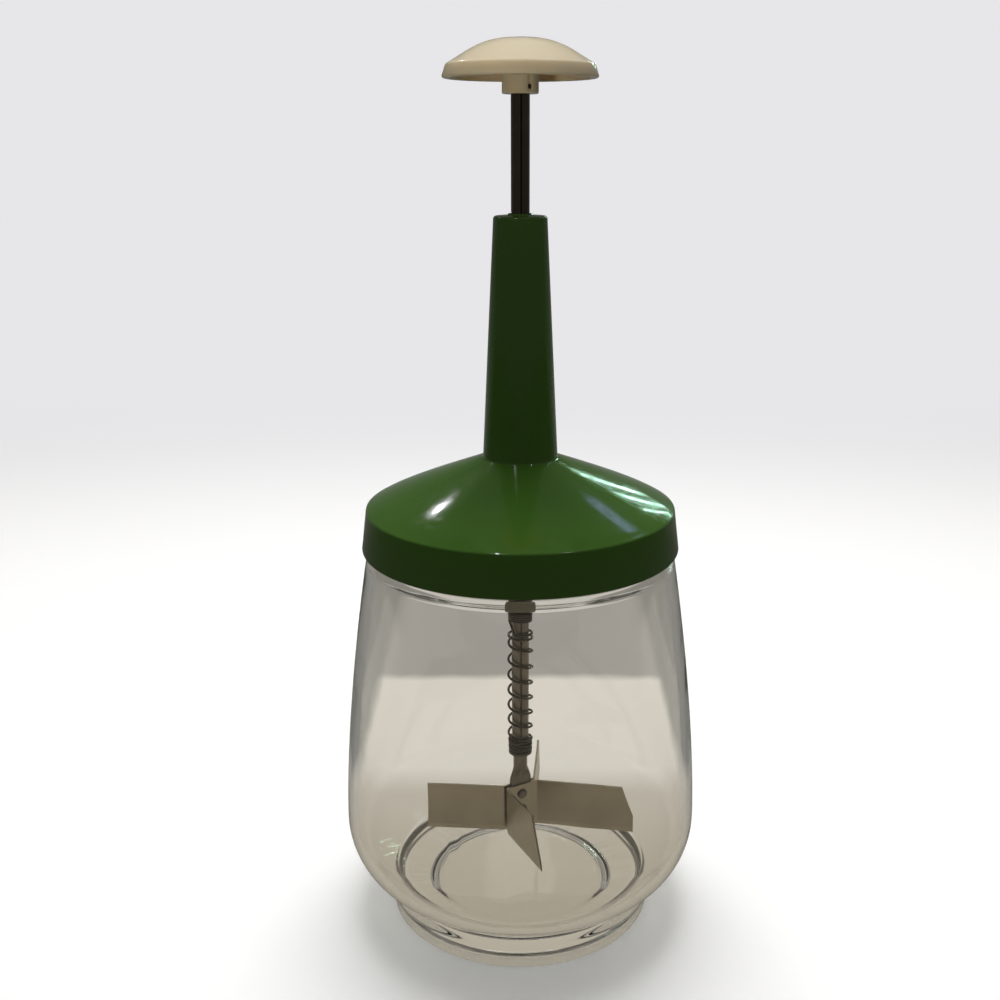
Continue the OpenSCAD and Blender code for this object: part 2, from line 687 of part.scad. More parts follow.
// A strip bent twice: in along the first arm, along the flat, out along the second.
module bent_strip(side, first, first_len, second, second_len) {
    start = hub_point(-1, side);
    end = hub_point(1, side);
    back = side < 0 ? first - 180 : first + 180;
    path = concat(
        [[start + first_len * ahead(first), back]],
        bend_stations(start, back, hub_angle),
        bend_stations(end, hub_angle, second),
        [[end + second_len * ahead(second), second]]);
    sweep([for (s = path) [for (q = STRIP_SECTION)
        let (at = s[0] + q[0] * left_of(s[1])) [at[0], at[1], blade_z + q[1]]]]);
}

// Cuts an arm's end back along a slope that starts some way up the end.
module end_cut(bend, angle, length, slant, corner) {
    low = [length, corner * blade_h];
    high = [length - slant * blade_h, blade_h];
    past = (high - low) / 5;
    translate([bend[0], bend[1], blade_z])
    rotate([0, 0, angle])
    translate([0, 2 * blade_t, 0])
    rotate([90, 0, 0])
    linear_extrude(4 * blade_t)
    polygon([low - past, [low[0] + 2 * TIP_OVER, low[1] - past[1]],
             [low[0] + 2 * TIP_OVER, high[1] + past[1]], high + past]);
}

module rivet_holes() {
    for (z = rivet_zs) rivet_bar(z, rivet_r + press_gap, tongue_t + 4 * blade_t + 2);
}

module rivet_bar(z, r, length) {
    translate([0, 0, z])
    rotate([0, 0, hub_angle])
    rotate([90, 0, 0])
    cylinder(r = r, h = length, center = true, $fn = 32);
}

module blade_left_rear() {
    start = hub_point(-1, -1);
    end = hub_point(1, -1);
    rear_len = arm_len(end, rear_angle, blade_reach - rear_short);
    color(STEEL)
    difference() {
        bent_strip(-1, left_angle, arm_len(start, left_angle, blade_reach - left_short),
                   rear_angle, rear_len + TIP_OVER);
        end_cut(end, rear_angle, rear_len, SHARP_SLANT, 0);
        rivet_holes();
    }
}

module blade_front_right() {
    start = hub_point(-1, 1);
    end = hub_point(1, 1);
    front_len = arm_len(start, front_angle, blade_reach - front_short);
    right_len = arm_len(end, right_angle, blade_reach);
    color(STEEL)
    difference() {
        bent_strip(1, front_angle, front_len + TIP_OVER, right_angle, right_len);
        end_cut(start, front_angle, front_len, SHARP_SLANT, 0);
        end_cut(end, right_angle, right_len, RIGHT_SLANT, RIGHT_CORNER);
        rivet_holes();
    }
}

module rivet(z) {
    stack = tongue_t + 2 * blade_t;
    rivet_bar(z, rivet_r, stack + 2 * EPS);
    for (side = [0, 180])
    translate([0, 0, z])
    rotate([0, 0, hub_angle + side])
    translate([0, -stack / 2, 0])
    rotate([90, 0, 0])
    rotate_extrude($fn = 32)
    polygon([[0, 0], [rivet_head_d / 2, 0], [rivet_head_d / 2, rivet_head_h * 0.35],
             [rivet_head_d * 0.38, rivet_head_h * 0.8], [rivet_head_d * 0.18, rivet_head_h],
             [0, rivet_head_h]]);
}

module blade_rivets() {
    color(STEEL) for (z = rivet_zs) rivet(z);
}

jar();
lid();
lid_liner();
guide_plug();
guide_ferrule();
spring();
spring_collar();
shaft();
knob();
knob_pin();
blade_left_rear();
blade_front_right();
blade_rivets();
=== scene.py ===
import math

import bmesh
import bpy
from mathutils import Matrix, Vector


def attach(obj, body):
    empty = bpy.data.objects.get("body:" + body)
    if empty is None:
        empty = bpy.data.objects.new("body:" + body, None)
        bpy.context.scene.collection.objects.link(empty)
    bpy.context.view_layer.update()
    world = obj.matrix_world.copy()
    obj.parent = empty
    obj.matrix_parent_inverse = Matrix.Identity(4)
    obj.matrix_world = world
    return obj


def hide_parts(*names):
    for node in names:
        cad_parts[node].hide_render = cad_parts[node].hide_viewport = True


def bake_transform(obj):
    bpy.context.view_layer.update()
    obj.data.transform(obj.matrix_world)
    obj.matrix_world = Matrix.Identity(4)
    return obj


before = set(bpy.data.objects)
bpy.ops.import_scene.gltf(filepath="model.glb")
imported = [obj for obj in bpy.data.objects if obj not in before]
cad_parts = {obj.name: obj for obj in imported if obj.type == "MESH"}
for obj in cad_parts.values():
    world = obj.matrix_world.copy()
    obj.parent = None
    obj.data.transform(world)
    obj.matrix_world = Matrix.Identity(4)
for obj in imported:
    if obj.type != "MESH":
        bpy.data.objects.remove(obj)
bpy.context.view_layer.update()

MM = 0.001
TURN = 2 * math.pi

# ---- Sizes in millimetres and degrees, as the solids have them ----

FOOT_R, FOOT_ROUND = 40.8, 0.8
BEAD_LOW, BEAD_HIGH, BEAD_OUT = 4.0, 9.4, 1.0
HEEL_Z = 11.2
BELLY_R, BELLY_Z = 54.6, 32.0
SHOULDER_R, SHOULDER_Z, SHOULDER_ROUND = 46.2, 118.0, 3.0
SIDE_TOP = SHOULDER_Z - SHOULDER_ROUND
SIDE_BEND = 1.58
NECK_R, NECK_BORE, NECK_ROUND = 41.2, 37.8, 0.8
MOUTH_Z, MOUTH_ROUND = 129.4, 1.1
GLASS_WALL, INNER_SHOULDER = 2.8, 4.4
FLOOR_R, FLOOR_Z, FLOOR_ROUND = 36.4, 9.8, 3.2
PUNT_R, PUNT_Z, PUNT_SLOPE = 30.0, 3.2, 6.4
MOULD_SEAM, SEAM_RISE = -110.0, 0.03

THREAD_PITCH, THREAD_TURNS, THREAD_Z = 4.5, 1.3, 120.6

SKIRT_R, SKIRT_Z, SKIRT_ROUND = 47.1, 118.7, 0.5
RIDGE_R, RIDGE_Z, RIDGE_ROUND = 45.7, 131.3, 0.8
LID_WALL, LINER_Z = 2.2, 130.8
DOME_TOP, DOME_CROWN = 145.7, 0.6
TOWER_FOOT_R, TOWER_TOP_R, TOWER_TOP = 10.95, 7.6, 214.8
TOWER_WALL, TOWER_CAP, TOWER_ROUND = 2.1, 3.4, 0.9
SHAFT_BORE = 2.65
PLUG_SEAT_R, PLUG_SEAT_Z = 12.55, 142.1
LINER_BORE = 36.325

SHAFT_R, STEM_R, SHAFT_TOP = 2.6, 2.2, 255.8
TONGUE_WIDTH, TONGUE_THICK, TONGUE_ANGLE = 7.2, 1.2, 29.5
TONGUE_Z, FLATTEN_Z, TUBE_Z = 24.9, 39.5, 46.0
ROLL_SEAM, ROLL_GROOVE = -84.0, 0.35
COLLAR_Z, STOP_BEAD_Z, STOP_BEAD_OUT = 49.8, 55.2, 0.26

KNOB_Z, KNOB_RIM_R, KNOB_FLAT_R, KNOB_COLLAR_R = 246.8, 21.2, 10.5, 5.0
PIN_HOLE_R, PIN_UP, PIN_ANGLE = 0.77, 1.8, -57.3

WIRE = 0.75


# ---- Small tools ----

def linear(hex_colour):
    """The linear colour of an sRGB hex value."""
    channels = [int(hex_colour[i:i + 2], 16) / 255 for i in (1, 3, 5)]
    return tuple(c / 12.92 if c <= 0.04045 else ((c + 0.055) / 1.055) ** 2.4
                 for c in channels) + (1.0,)


def bezier(a, b, c, d, steps=16):
    """Points of a cubic curve, without its first point."""
    a, b, c, d = (Vector(p) for p in (a, b, c, d))
    points = []
    for i in range(1, steps + 1):
        t = i / steps
        s = 1 - t
        points.append(s ** 3 * a + 3 * s * s * t * b + 3 * s * t * t * c + t ** 3 * d)
    return points


def arc(centre, radius, start, end, steps=8):
    """Points of an arc, from one angle to another in degrees."""
    angles = [math.radians(start + (end - start) * i / steps) for i in range(steps + 1)]
    return [Vector((centre[0] + radius * math.cos(a), centre[1] + radius * math.sin(a)))
            for a in angles]


def finish_mesh(mesh, name, smooth_angle=35):
    """Makes an object of a bmesh, with normals outwards and only real edges sharp."""
    bmesh.ops.remove_doubles(mesh, verts=mesh.verts, dist=1e-7)
    bmesh.ops.recalc_face_normals(mesh, faces=mesh.faces)
    data = bpy.data.meshes.new(name)
    mesh.to_mesh(data)
    mesh.free()
    data.shade_smooth()
    data.set_sharp_from_angle(angle=math.radians(smooth_angle))
    piece = bpy.data.objects.new(name, data)
    bpy.context.scene.collection.objects.link(piece)
    return piece


def lathe(profile, steps):
    """A bmesh of a profile of (radius, height) points spun about the plunger's axis."""
    mesh = bmesh.new()
    verts = [mesh.verts.new((p[0] * MM, 0, p[1] * MM)) for p in profile]
    edges = [mesh.edges.new(pair) for pair in zip(verts, verts[1:])]
    bmesh.ops.spin(mesh, geom=verts + edges, cent=(0, 0, 0), axis=(0, 0, 1), angle=TURN,
                   steps=steps, use_merge=True)
    bmesh.ops.remove_doubles(mesh, verts=mesh.verts, dist=1e-7)
    return mesh


def raise_thread(mesh, radius, low, turns, height, half_width):
    """Moves the verts of a plain cylinder out (or in) along a right-hand thread."""
    for v in mesh.verts:
        r = math.hypot(v.co.x, v.co.y) / MM
        z = v.co.z / MM
        if abs(r - radius) > 0.05:
            continue
        first = (math.atan2(v.co.y, v.co.x) / TURN) % 1
        rise = 0
        for turn in range(math.ceil(turns) + 1):
            along = first + turn
            if along > turns:
                continue
            off = abs(z - low - THREAD_PITCH * along) / half_width
            run_out = min(1, 8 * along, 8 * (turns - along))
            if off < 1:
                rise = max(rise, run_out * (0.5 + 0.5 * math.cos(math.pi * off)))
        scale = 1 + rise * height / r
        v.co.x *= scale
        v.co.y *= scale


# ---- Glass jar ----

def side_radius(z):
    """Outer radius of the jar between its widest ring and its shoulder."""
    up = (z - BELLY_Z) / (SIDE_TOP - BELLY_Z)
    return BELLY_R - (BELLY_R - SHOULDER_R) * up ** SIDE_BEND


def side_points(inset, top, steps=30):
    """The jar's side from its widest ring up to a height, set in by the inset."""
    return [Vector((side_radius(z) - inset, z))
            for z in (BELLY_Z + (top - BELLY_Z) * i / steps for i in range(1, steps + 1))]


def outer_radius(z):
    """Radius that divides the jar's outer skin from its bore, at height z."""
    if z < BELLY_Z:
        return FOOT_R - 1
    return side_radius(z) - GLASS_WALL / 2


def raise_seams(mesh):
    """Lifts the two fine lines where the halves of the mould met."""
    for v in mesh.verts:
        r, z = math.hypot(v.co.x, v.co.y) / MM, v.co.z / MM
        off = (math.degrees(math.atan2(v.co.y, v.co.x)) - MOULD_SEAM + 90) % 180 - 90
        if abs(off) < 0.4 and 1 < z < SIDE_TOP and r > outer_radius(z):
            v.co.x *= 1 + SEAM_RISE / r
            v.co.y *= 1 + SEAM_RISE / r


def foot_profile():
    """From the middle of the punt out under the foot, and up over the bead to the heel."""
    slope_r = PUNT_R - PUNT_SLOPE
    step_r = PUNT_R - PUNT_SLOPE / 4
    points = [Vector((r, PUNT_Z)) for r in (0, 8, 16, slope_r)]
    points += bezier((slope_r, PUNT_Z), (step_r, PUNT_Z), (step_r, 0), (PUNT_R, 0))
    points += arc((FOOT_R - FOOT_ROUND, FOOT_ROUND), FOOT_ROUND, -90, 0)
    points += bezier((FOOT_R, FOOT_ROUND), (FOOT_R, 2.6), (FOOT_R - 0.1, 3.3),
                     (FOOT_R - 0.15, BEAD_LOW - 0.1), 5)
    bead_steps = 18
    points += [Vector((FOOT_R + BEAD_OUT * math.sin(math.pi * i / bead_steps),
                       BEAD_LOW + (BEAD_HIGH - BEAD_LOW) * i / bead_steps))
               for i in range(1, bead_steps + 1)]
    points += bezier((FOOT_R, BEAD_HIGH), (FOOT_R - 0.1, BEAD_HIGH + 0.6),
                     (FOOT_R - 0.1, HEEL_Z - 0.6), (FOOT_R, HEEL_Z), 6)
    return points


def heel_profile():
    """The full curve from the foot out to the widest ring."""
    out, up = BELLY_R - FOOT_R, BELLY_Z - HEEL_Z
    return bezier((FOOT_R, HEEL_Z), (FOOT_R + 0.45 * out, HEEL_Z + 0.15 * up),
                  (BELLY_R, BELLY_Z - 0.55 * up), (BELLY_R, BELLY_Z), 30)


def neck_profile():
    """Over the shoulder, up the neck in rows fine enough for its thread, and over the mouth."""
    low, high = SHOULDER_Z + NECK_ROUND, MOUTH_Z - MOUTH_ROUND
    rows = 36
    return (arc((SHOULDER_R - SHOULDER_ROUND, SIDE_TOP), SHOULDER_ROUND, 0, 90)
            + arc((NECK_R + NECK_ROUND, low), NECK_ROUND, 270, 180, 4)
            + [Vector((NECK_R, low + (high - low) * i / rows)) for i in range(1, rows)]
            + arc((NECK_R - MOUTH_ROUND, high), MOUTH_ROUND, 0, 90)
            + arc((NECK_BORE + MOUTH_ROUND, high), MOUTH_ROUND, 90, 180))


def bore_profile():
    """Down the neck's bore and the inner wall, and over the round corner to the floor."""
    inner_r = BELLY_R - GLASS_WALL
    turn_z = SHOULDER_Z - INNER_SHOULDER
    turn_r = side_radius(turn_z) - GLASS_WALL
    points = [Vector((NECK_BORE, 124.0)), Vector((NECK_BORE, SHOULDER_Z))]
    points += bezier((NECK_BORE, SHOULDER_Z), (NECK_BORE, SHOULDER_Z - INNER_SHOULDER / 2),
                     (turn_r, turn_z + INNER_SHOULDER / 2), (turn_r, turn_z))
    points += side_points(GLASS_WALL, turn_z)[::-1][1:]
    points.append(Vector((inner_r, BELLY_Z)))
    corner = Vector((FLOOR_R + FLOOR_ROUND, FLOOR_Z + FLOOR_ROUND))
    out, up = inner_r - corner.x, BELLY_Z - corner.y
    points += bezier((inner_r, BELLY_Z), (inner_r, BELLY_Z - 0.6 * up),
                     corner + Vector((0.28 * out, 0.1 * up)), corner, 24)
    points += arc((FLOOR_R, corner.y), FLOOR_ROUND, 0, -90)[1:]
    points += [Vector((r, FLOOR_Z)) for r in (24, 12, 0)]
    return points


def glass_jar():
    """The pressed jar, one profile from the punt over the mouth to the floor, with its thread."""
    profile = (foot_profile() + heel_profile() + side_points(0, SIDE_TOP)
               + neck_profile() + bore_profile())
    mesh = lathe(profile, 288)
    raise_thread(mesh, NECK_R, THREAD_Z, THREAD_TURNS, height=1.5, half_width=1.1)
    raise_seams(mesh)
    return finish_mesh(mesh, "glass_jar", 60)


# ---- Lid ----

def tower_radius(z, inset=0.0):
    """Radius of the tower's taper at height z, set in by the inset."""
    up = (z - DOME_TOP) / (TOWER_TOP - DOME_TOP)
    return TOWER_FOOT_R - inset + (TOWER_TOP_R - TOWER_FOOT_R) * up


def dome_ceiling(r):
    """Height of the dome's inner face at radius r."""
    in_by = (RIDGE_R - r) / (RIDGE_R - TOWER_FOOT_R)
    return RIDGE_Z + (DOME_TOP - RIDGE_Z) * in_by - LID_WALL


def lid_outside():
    """Up the skirt, over the ridge and the dome, and up the tower to the lip round its hole."""
    start, end = Vector((RIDGE_R - RIDGE_ROUND, RIDGE_Z)), Vector((TOWER_FOOT_R + 0.5, DOME_TOP))
    chord = end - start
    outward = Vector((chord.y, -chord.x)).normalized()
    dome_steps = 40
    dome = [start + chord * t + outward * DOME_CROWN * math.sin(math.pi * t ** 0.6)
            for t in (i / dome_steps for i in range(1, dome_steps + 1))]
    points = [Vector((SKIRT_R - LID_WALL, SKIRT_Z))]
    points += arc((SKIRT_R - SKIRT_ROUND, SKIRT_Z + SKIRT_ROUND), SKIRT_ROUND, -90, 0, 5)
    points += arc((RIDGE_R - RIDGE_ROUND, RIDGE_Z - RIDGE_ROUND), RIDGE_ROUND, 5, 70, 6)
    points += dome
    points += bezier(end, end + Vector((-0.35, 0.1)),
                     (tower_radius(DOME_TOP + 0.5), DOME_TOP + 0.3),
                     (tower_radius(DOME_TOP + 0.9), DOME_TOP + 0.9), 6)
    points += arc((TOWER_TOP_R - TOWER_ROUND, TOWER_TOP - TOWER_ROUND), TOWER_ROUND, 3, 90, 7)
    lip_r, lip_z = SHAFT_BORE + 0.75, TOWER_TOP + 0.6
    points += [Vector(p) for p in (
        (lip_r + 0.5, TOWER_TOP), (lip_r + 0.15, TOWER_TOP + 0.25), (lip_r, lip_z - 0.1),
        (lip_r - 0.1, lip_z), (SHAFT_BORE + 0.25, lip_z), (SHAFT_BORE, lip_z - 0.25))]
    return points


def lid_inside():
    """Down the cored tower, out under the dome, and down inside the skirt to its edge."""
    cap_z = TOWER_TOP - TOWER_CAP
    step_r = PLUG_SEAT_R + 0.5
    skirt_bore = RIDGE_R - LID_WALL
    points = [Vector(p) for p in (
        (SHAFT_BORE, cap_z), (tower_radius(cap_z, TOWER_WALL), cap_z),
        (tower_radius(PLUG_SEAT_Z, TOWER_WALL), PLUG_SEAT_Z), (PLUG_SEAT_R, PLUG_SEAT_Z),
        (step_r, dome_ceiling(step_r)), (LINER_BORE, dome_ceiling(LINER_BORE)),
        (LINER_BORE, LINER_Z), (skirt_bore - 0.3, LINER_Z))]
    high, low = LINER_Z - 0.4, SKIRT_Z + 0.3
    rows = 32
    points += [Vector((skirt_bore, high - (high - low) * i / rows)) for i in range(rows + 1)]
    return points


def lid_moulding():
    """The lid in one moulding of skirt, dome and tower, threaded inside the skirt."""
    outside = lid_outside()
    mesh = lathe(outside + lid_inside() + outside[:1], 256)
    raise_thread(mesh, RIDGE_R - LID_WALL, THREAD_Z + THREAD_PITCH / 2, THREAD_TURNS,
                 height=-1.0, half_width=1.0)
    return finish_mesh(mesh, "lid_moulding", 40)


# ---- Plunger ----

def drill(piece, radius, height, angle):
    """The same piece with a level hole right through it, for a cross pin."""
    mesh = bmesh.new()
    level = Matrix.Rotation(math.radians(angle), 4, "Z") @ Matrix.Rotation(math.pi / 2, 4, "Y")
    bmesh.ops.create_cone(mesh, cap_ends=True, segments=32, radius1=radius * MM,
                          radius2=radius * MM, depth=12 * MM,
                          matrix=Matrix.Translation((0, 0, height * MM)) @ level)
    bit = finish_mesh(mesh, "drill_bit")
    cut = piece.modifiers.new("pin_hole", "BOOLEAN")
    cut.operation, cut.solver, cut.object = "DIFFERENCE", "EXACT", bit
    drilled = bpy.data.meshes.new_from_object(
        piece.evaluated_get(bpy.context.evaluated_depsgraph_get()))
    piece.modifiers.remove(cut)
    piece.data = drilled
    bpy.data.objects.remove(bit)
    return piece


def knob_crown(edge, height):
    """Points from an edge over the straight flank to the middle of the nearly flat top."""
    return bezier(edge, (1.22 * KNOB_FLAT_R, edge.y + 0.62 * height),
                  (KNOB_FLAT_R, edge.y + height), (0, edge.y + height), 48)


def mushroom_knob():
    """The knob: crown, ridge, rim band, hollow underside, and a collar with the shaft's socket."""
    rim_z, rim_round, rise, wall = KNOB_Z + 4, 0.6, 6.8, 1.0
    ridge = Vector((20.2, KNOB_Z + 7.6))
    up_band = (ridge - Vector((KNOB_RIM_R, rim_z + rim_round))).normalized()
    top = knob_crown(ridge, rise)
    rim_r = KNOB_RIM_R - rim_round
    outside = [Vector((rim_r, rim_z))] + arc((rim_r, rim_z + rim_round), rim_round, -60, 0, 4)
    outside += bezier(ridge - 0.8 * up_band, ridge, ridge, top[1], 8)
    inner_edge = ridge - Vector((2 * wall, wall))
    under = [p for p in knob_crown(inner_edge, rise - wall)[::-1] if p.x > KNOB_COLLAR_R]
    under = [Vector((KNOB_COLLAR_R, under[0].y))] + under + [inner_edge]
    socket_r, socket_z = SHAFT_R + 0.02, KNOB_Z + 9.1
    collar = [Vector(p) for p in (
        (0, socket_z), (socket_r, socket_z), (socket_r, KNOB_Z + 0.2), (socket_r + 0.2, KNOB_Z),
        (KNOB_COLLAR_R - 0.4, KNOB_Z), (KNOB_COLLAR_R - 0.1, KNOB_Z + 0.1),
        (KNOB_COLLAR_R, KNOB_Z + 0.4))]
    inner_rim = [Vector((KNOB_RIM_R - 2 * wall, rim_z))]
    mesh = lathe(collar + under + inner_rim + outside + top[2:], 192)
    return drill(finish_mesh(mesh, "mushroom_knob", 40), PIN_HOLE_R, KNOB_Z + PIN_UP, PIN_ANGLE)


def shaft_ring(radius, squeeze, sides):
    """A ring of points that goes from round, at 0, to the flat tongue's section, at 1."""
    flat = math.radians(TONGUE_ANGLE)
    points = []
    for i in range(sides):
        a = math.radians(ROLL_SEAM) + TURN * i / sides
        way = Vector((math.cos(a - flat), math.sin(a - flat)))
        reach = max(abs(way.x) / (TONGUE_WIDTH / 2), abs(way.y) / (TONGUE_THICK / 2))
        point = way * radius * (1 - squeeze) + way / reach * squeeze
        points.append(Matrix.Rotation(flat, 2) @ point)
    return points


def shaft_levels():
    """Heights from the tongue to the top, each with its radius and how flat it is pressed."""
    steps = 14
    eased = [t * t * (3 - 2 * t) for t in (i / steps for i in range(1, steps + 1))]
    levels = [(z, STEM_R, 1.0) for z in (TONGUE_Z, FLATTEN_Z - 4, FLATTEN_Z)]
    levels += [(FLATTEN_Z + (TUBE_Z - FLATTEN_Z) * i / steps, STEM_R, 1 - ease)
               for i, ease in enumerate(eased, 1)]
    bead_r = SHAFT_R + STOP_BEAD_OUT
    levels += [(COLLAR_Z, STEM_R, 0), (COLLAR_Z + 0.6, SHAFT_R, 0),
               (STOP_BEAD_Z - 0.5, SHAFT_R, 0), (STOP_BEAD_Z - 0.25, bead_r, 0),
               (STOP_BEAD_Z + 0.25, bead_r, 0), (STOP_BEAD_Z + 0.5, SHAFT_R, 0),
               (SHAFT_TOP, SHAFT_R, 0)]
    return levels


def rolled_shaft():
    """The shaft: a rolled tube with an open seam, pressed flat below for the blades."""
    sides = 64
    mesh = bmesh.new()
    below = None
    for z, radius, squeeze in shaft_levels():
        groove = ROLL_GROOVE if z > COLLAR_Z + 0.3 else 0
        ring = shaft_ring(radius, squeeze, sides)
        ring[0] = ring[0] * (1 - groove / radius)
        verts = [mesh.verts.new((p.x * MM, p.y * MM, z * MM)) for p in ring]
        if below is None:
            mesh.faces.new(verts[::-1])
        else:
            for i in range(sides):
                mesh.faces.new((below[i - 1], below[i], verts[i], verts[i - 1]))
        below = verts
    mesh.faces.new(below)
    return finish_mesh(mesh, "rolled_shaft", 30)


def spring_path():
    """Centre points of the return spring's wire, from its upper end to its lower end.

    The turns are counted from the first working coil.  They wind left-handed: the angle
    grows as the wire comes down.
    """
    close_r, open_r = 3.37, 3.64
    top_turns, open_turns, low_turns = 16.0, 6.6, 4.1
    first_coil_z = 88.0
    close_pitch, open_pitch, tightening = 0.8, 5.5, 0.9
    bunch_lean = 0.35

    def drop(t):
        """Depth below the first working coil after t turns: close coils, a steep step, a flat
        turn, the working coils, and the coils that bunch on the collar."""
        if t < -1.73:
            return -6.2 + (t + 1.73) * close_pitch
        if t < -1.63:
            return -2.6 + (t + 1.63) * 36
        if t < -0.5:
            return -1.0 + (t + 0.5) * 1.42
        if t < 0:
            return t * 2
        working = min(t, open_turns)
        depth = open_pitch * working - tightening * working * working / (2 * open_turns)
        return depth + (t - working) * close_pitch

    def radius(t):
        """The close coils' radius at both ends, and the working coils' between them."""
        into = min(1, max(0, t + 2)) * min(1, max(0, open_turns + 0.8 - t))
        return close_r + (open_r - close_r) * into

    per_turn = 40
    first, last = round(-top_turns * per_turn), round((open_turns + low_turns) * per_turn)
    points = []
    for step in range(first, last + 1):
        t = step / per_turn
        a = math.radians(108) + TURN * t
        lean = bunch_lean * min(1, max(0, t - open_turns)) * min(1, open_turns + low_turns - t)
        z = first_coil_z - drop(t) + lean * math.cos(2.3 * a)
        points.append(Vector((radius(t) * math.cos(a), radius(t) * math.sin(a), z)) * MM)
    return points


def wire_along(points, diameter, name):
    """A round wire along a path, as a closed mesh."""
    curve = bpy.data.curves.new(name, "CURVE")
    curve.dimensions = "3D"
    curve.bevel_depth = diameter / 2 * MM
    curve.bevel_resolution = 3
    curve.use_fill_caps = True
    spline = curve.splines.new("POLY")
    spline.points.add(len(points) - 1)
    for point, p in zip(spline.points, points):
        point.co = (*p, 1)
    carrier = bpy.data.objects.new(name + "_path", curve)
    bpy.context.scene.collection.objects.link(carrier)
    data = bpy.data.meshes.new_from_object(
        carrier.evaluated_get(bpy.context.evaluated_depsgraph_get()))
    bpy.data.objects.remove(carrier)
    bpy.data.curves.remove(curve)
    mesh = bmesh.new()
    mesh.from_mesh(data)
    bpy.data.meshes.remove(data)
    return finish_mesh(mesh, name, 60)


# ---- Materials ----

def material(name):
    """A new material with nothing but its output."""
    made = bpy.data.materials.new(name)
    made.use_nodes = True
    made.node_tree.nodes.clear()
    return made, made.node_tree.nodes.new("ShaderNodeOutputMaterial")


def add(made, kind, inputs=(), **settings):
    """Adds a node with its settings, and sets or links its inputs."""
    node = made.node_tree.nodes.new(kind)
    for name, value in settings.items():
        setattr(node, name, value)
    for name, value in dict(inputs).items():
        if isinstance(value, bpy.types.NodeSocket):
            made.node_tree.links.new(value, node.inputs[name])
        else:
            node.inputs[name].default_value = value
    return node


def pressed_glass():
    """Soda-lime glass, pressed: clear, faintly warm, with slow waves left by the mould.

    The waves lie about 17 mm apart.  A lamp's light goes through it and is a little dimmed.
    """
    made, output = material("pressed_soda_lime_glass")
    place = add(made, "ShaderNodeTexCoord").outputs["Object"]
    waves = add(made, "ShaderNodeTexNoise", {"Vector": place, "Scale": 60.0, "Detail": 1.0})
    bump = add(made, "ShaderNodeBump", {"Height": waves.outputs["Fac"], "Strength": 0.15,
                                        "Distance": 0.6 * MM})
    glass = add(made, "ShaderNodeBsdfPrincipled", {
        "Base Color": linear("#f2f0ec"), "Transmission Weight": 1.0, "IOR": 1.52,
        "Roughness": 0.015, "Normal": bump.outputs["Normal"]})
    through = add(made, "ShaderNodeBsdfTransparent", {"Color": linear("#d4d4d2")})
    lamp = add(made, "ShaderNodeLightPath").outputs["Is Shadow Ray"]
    mix = add(made, "ShaderNodeMixShader", {0: lamp, 1: glass.outputs[0], 2: through.outputs[0]})
    made.node_tree.links.new(mix.outputs[0], output.inputs["Surface"])
    return made


def moulded(name, colour, worn_colour, roughness, milky=0.0):
    """A moulded plastic: its mould's skin, uneven every 30 mm or so, rubbed by handling.

    Handling marks are finer than a render shows, so they are drawn 2.5 mm apart.  Milky is
    how much of the light goes into the plastic and comes out some millimetres away.
    """
    made, output = material(name)
    place = add(made, "ShaderNodeTexCoord").outputs["Object"]
    cloud = add(made, "ShaderNodeTexNoise", {"Vector": place, "Scale": 35.0, "Detail": 4.0})
    tone = add(made, "ShaderNodeMix", {"Factor": cloud.outputs["Fac"], 6: linear(colour),
                                       7: linear(worn_colour)}, data_type="RGBA")
    rub = add(made, "ShaderNodeTexNoise", {"Vector": place, "Scale": 400.0, "Detail": 3.0})
    gloss = add(made, "ShaderNodeMapRange", {
        "Value": rub.outputs["Fac"], "From Min": 0.35, "From Max": 0.75,
        "To Min": roughness, "To Max": roughness + 0.12})
    skin = add(made, "ShaderNodeBump", {"Height": cloud.outputs["Fac"], "Strength": 0.08,
                                        "Distance": 0.4 * MM})
    body = add(made, "ShaderNodeBsdfPrincipled", {
        "Base Color": tone.outputs[2], "Roughness": gloss.outputs[0], "IOR": 1.54,
        "Normal": skin.outputs["Normal"], "Subsurface Weight": milky,
        "Subsurface Radius": (1.0, 0.8, 0.5), "Subsurface Scale": 4 * MM})
    made.node_tree.links.new(body.outputs[0], output.inputs["Surface"])
    return made


def steel(name, colour, dull_colour, roughness, grain=(1, 1, 1)):
    """Rolled, drawn or ground steel, with stains about 11 mm apart.

    Its fine lines are drawn 1.1 mm apart, because the real ones wouldn't show.  Grain draws
    them out along each axis where it is under 1.
    """
    made, output = material(name)
    place = add(made, "ShaderNodeTexCoord").outputs["Object"]
    run = add(made, "ShaderNodeMapping", {"Vector": place, "Scale": grain})
    lines = add(made, "ShaderNodeTexNoise", {"Vector": run.outputs[0], "Scale": 900.0,
                                             "Detail": 3.0})
    stain = add(made, "ShaderNodeTexNoise", {"Vector": place, "Scale": 90.0, "Detail": 4.0})
    tone = add(made, "ShaderNodeMix", {"Factor": stain.outputs["Fac"], 6: linear(colour),
                                       7: linear(dull_colour)}, data_type="RGBA")
    rough = add(made, "ShaderNodeMapRange", {
        "Value": lines.outputs["Fac"], "To Min": roughness - 0.08, "To Max": roughness + 0.12})
    bump = add(made, "ShaderNodeBump", {"Height": lines.outputs["Fac"], "Strength": 0.25,
                                        "Distance": 0.05 * MM})
    metal = add(made, "ShaderNodeBsdfPrincipled", {
        "Base Color": tone.outputs[2], "Metallic": 1.0, "Roughness": rough.outputs[0],
        "Normal": bump.outputs["Normal"]})
    made.node_tree.links.new(metal.outputs[0], output.inputs["Surface"])
    return made


def paint(piece, made):
    """Gives a piece one material."""
    piece.data.materials.clear()
    piece.data.materials.append(made)


# ---- Stage ----

